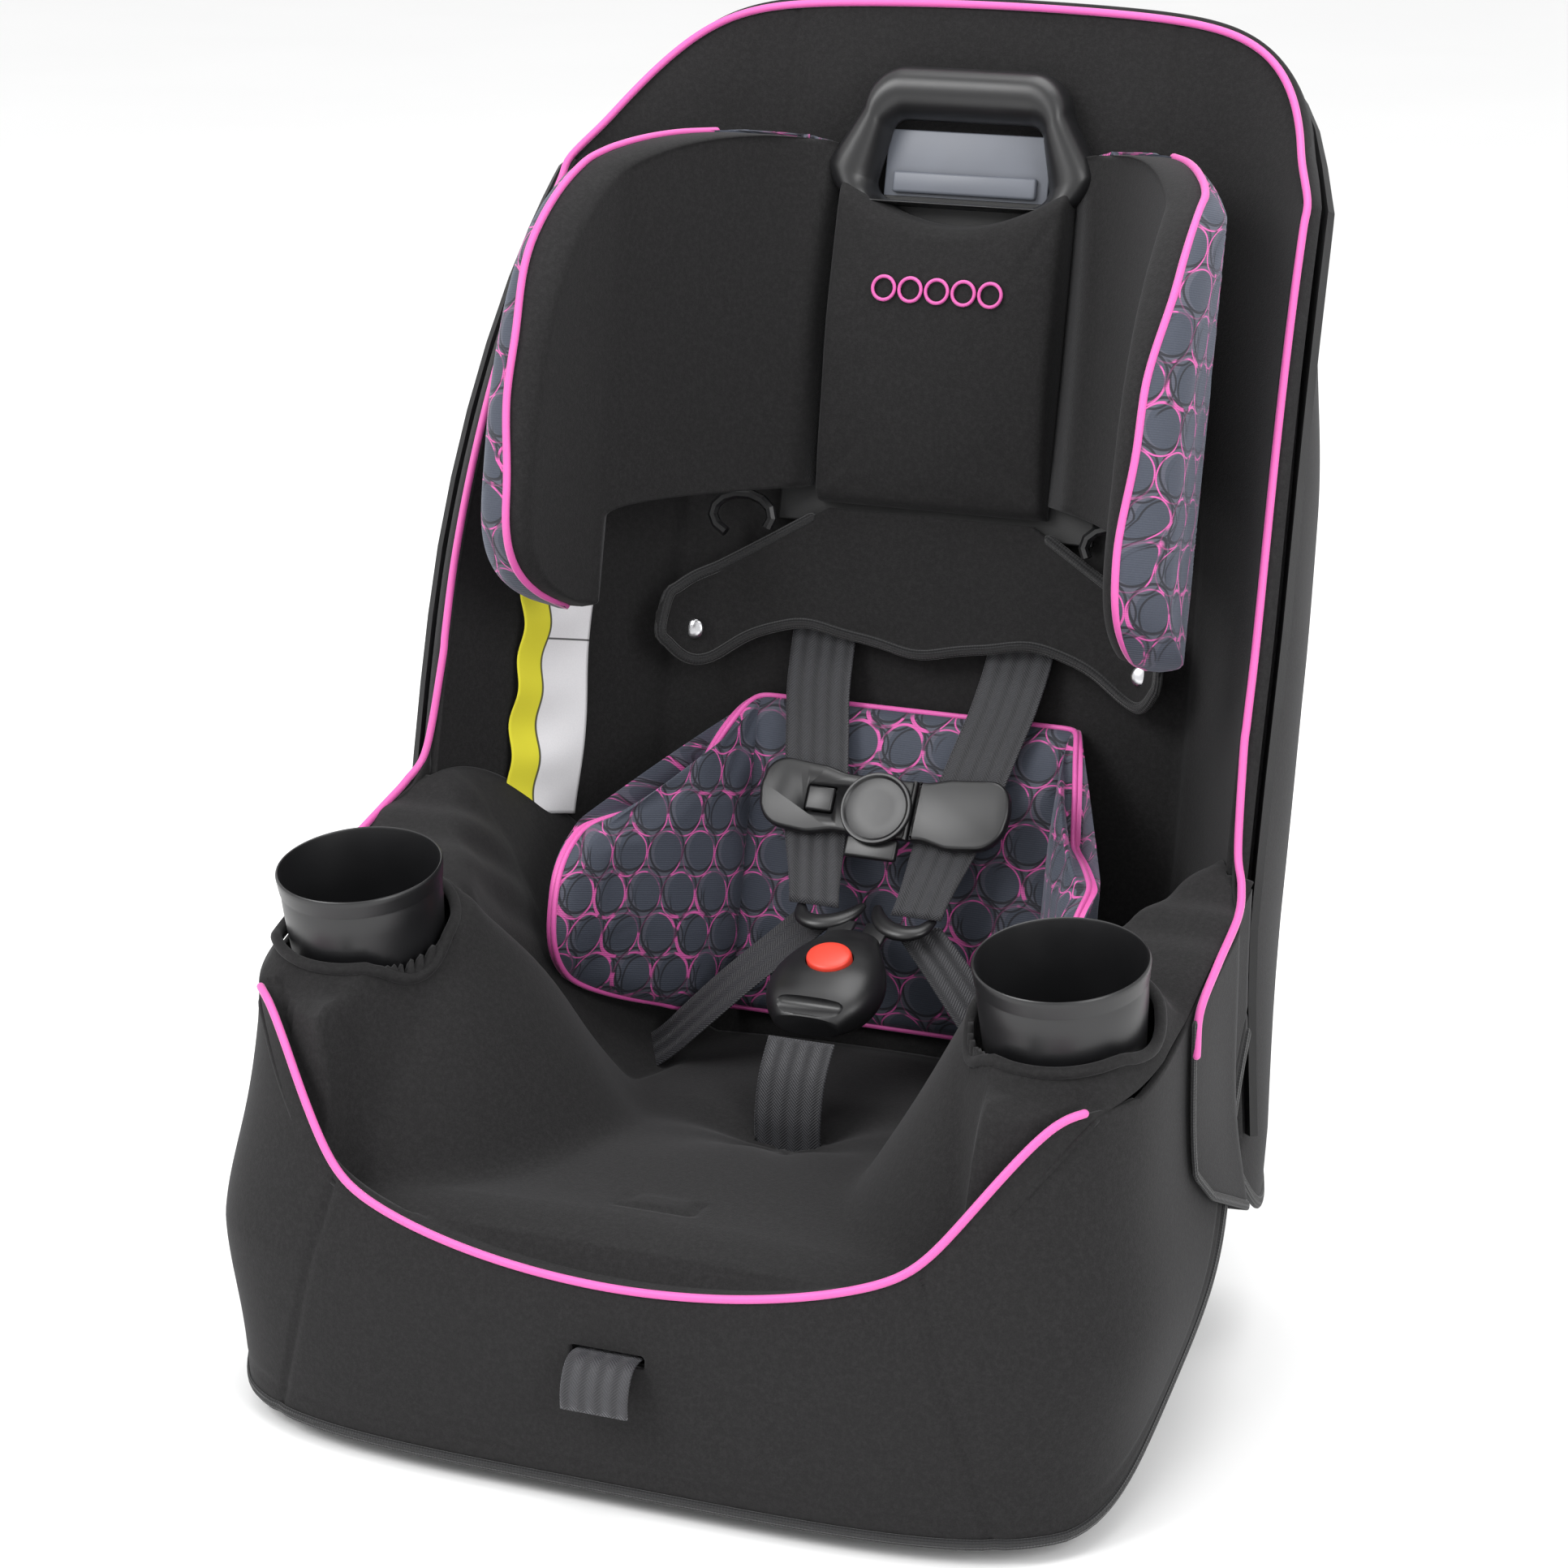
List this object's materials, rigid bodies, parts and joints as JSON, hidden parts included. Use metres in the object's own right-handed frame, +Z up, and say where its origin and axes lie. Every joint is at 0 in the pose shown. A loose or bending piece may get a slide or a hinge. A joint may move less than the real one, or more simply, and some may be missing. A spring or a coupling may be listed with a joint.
{
  "type": "harnessed child car seat",
  "caption": "Forward-facing child car seat with a harness, side wings, cup holders and a headrest that slides up the back.",
  "frame": {"origin": "on the floor under the base shell, on the plane of symmetry", "axes": "+Z up, the seat faces -Y, +X is the sitter's left"},
  "size_m": [0.5018, 0.5447, 0.6754],
  "materials": {
    "black_knit": "knitted polyester cover, matte",
    "print_fabric": "printed knit, slate discs on black with thin pink rings",
    "pink_binding": "satin piping and binding",
    "charcoal_web": "striped polyester webbing",
    "tag_cloth": "plain white sewn-in tag",
    "shell_plastic": "moulded polypropylene, fine grain",
    "gloss_plastic": "smooth moulded nylon, semi-gloss",
    "grey_plastic": "moulded slate-grey lever",
    "red_plastic": "red release button",
    "steel": "zinc-plated or stamped steel"
  },
  "bodies": {
    "seat": {"adjuster_housing": "shell_plastic", "adjuster_pin": "steel", "adjuster_strap": "charcoal_web", "arm_cover_left": "black_knit", "arm_cover_right": "black_knit", "back_cover": "black_knit", "back_rib_left": "shell_plastic", "back_rib_right": "shell_plastic", "back_shell": "shell_plastic", "base_cover": "black_knit", "base_shell": "shell_plastic", "care_tag": "tag_cloth", "crotch_anchor": "steel", "crotch_strap": "charcoal_web", "foot_lug_left": "shell_plastic", "foot_lug_right": "shell_plastic", "foot_pin": "steel", "height_rack_left": "shell_plastic", "height_rack_right": "shell_plastic", "lap_strap_left": "charcoal_web", "lap_strap_right": "charcoal_web", "lumbar_pad": "print_fabric", "seat_cushion": "black_knit", "seat_pan": "shell_plastic", "shell_bolt_1": "steel", "shell_bolt_2": "steel", "shell_bolt_3": "steel", "shell_bolt_4": "steel", "shoulder_strap_left": "charcoal_web", "shoulder_strap_right": "charcoal_web", "side_panel_left": "black_knit", "side_panel_right": "black_knit", "splitter_plate": "steel", "tongue_left": "gloss_plastic", "tongue_right": "gloss_plastic"},
    "headrest": {"headrest_shell": "shell_plastic", "carriage_plate": "shell_plastic", "head_pad": "black_knit", "wing_left": "print_fabric", "wing_right": "print_fabric", "headrest_flap": "black_knit", "snap_left": "steel", "snap_right": "steel", "headrest_handle": "gloss_plastic", "belt_guide_left": "gloss_plastic", "belt_guide_right": "gloss_plastic"},
    "headrest_lever": {"headrest_lever": "grey_plastic"},
    "chest_clip": {"clip_frame": "gloss_plastic", "clip_medallion": "gloss_plastic"},
    "clip_insert": {"clip_insert": "gloss_plastic"},
    "clip_button": {"clip_button": "gloss_plastic"},
    "buckle": {"buckle_front_cover": "gloss_plastic", "buckle_rear_cover": "gloss_plastic", "buckle_latch": "steel"},
    "buckle_button": {"buckle_button": "red_plastic"},
    "cup_left": {"cup_holder_left": "shell_plastic"},
    "cup_right": {"cup_holder_right": "shell_plastic"},
    "adjuster_lever": {"adjuster_lever": "grey_plastic"},
    "recline_foot": {"recline_foot": "shell_plastic"}
  },
  "joints": [
    {"name": "headrest_height", "type": "slide", "parent": "seat", "child": "headrest", "axis": [0, 0.2351, 0.972], "range_m": [0, 0.12]},
    {"name": "headrest_release", "type": "slide", "parent": "headrest", "child": "headrest_lever", "axis": [0, 0.2351, 0.972], "range_m": [0, 0.006], "stiffness_N_per_m": 500, "springref_m": -0.002},
    {"name": "chest_clip_height", "type": "slide", "parent": "seat", "child": "chest_clip", "axis": [0, 0.5434, 0.8395], "range_m": [-0.022, 0.01]},
    {"name": "chest_clip_parting", "type": "slide", "parent": "chest_clip", "child": "clip_insert", "axis": [1, 0, 0], "range_m": [0, 0.022]},
    {"name": "chest_clip_press", "type": "slide", "parent": "chest_clip", "child": "clip_button", "axis": [0, 0.8395, -0.5434], "range_m": [0, 0.0025], "stiffness_N_per_m": 400, "springref_m": -0.001},
    {"name": "buckle_release", "type": "slide", "parent": "seat", "child": "buckle", "axis": [0, -0.9272, -0.3746], "range_m": [0, 0.028], "deforming": ["crotch_strap"]},
    {"name": "buckle_press", "type": "slide", "parent": "buckle", "child": "buckle_button", "axis": [0, 0.3746, -0.9272], "range_m": [0, 0.003], "stiffness_N_per_m": 1500, "springref_m": -0.001},
    {"name": "cup_lift_left", "type": "slide", "parent": "seat", "child": "cup_left", "axis": [0, -0.1719, 0.9851], "range_m": [0, 0.09]},
    {"name": "cup_lift_right", "type": "slide", "parent": "seat", "child": "cup_right", "axis": [0, -0.1719, 0.9851], "range_m": [0, 0.09]},
    {"name": "adjuster_press", "type": "hinge", "parent": "seat", "child": "adjuster_lever", "pos_m": [0, -0.184, 0.098], "axis": [1, 0, 0], "range_deg": [0, 14], "stiffness_Nm_per_rad": 0.8, "springref_deg": -8.59},
    {"name": "recline_foot_swing", "type": "hinge", "parent": "seat", "child": "recline_foot", "pos_m": [0, -0.175, 0.01], "axis": [-1, 0, 0], "range_deg": [0, 100]}
  ]
}
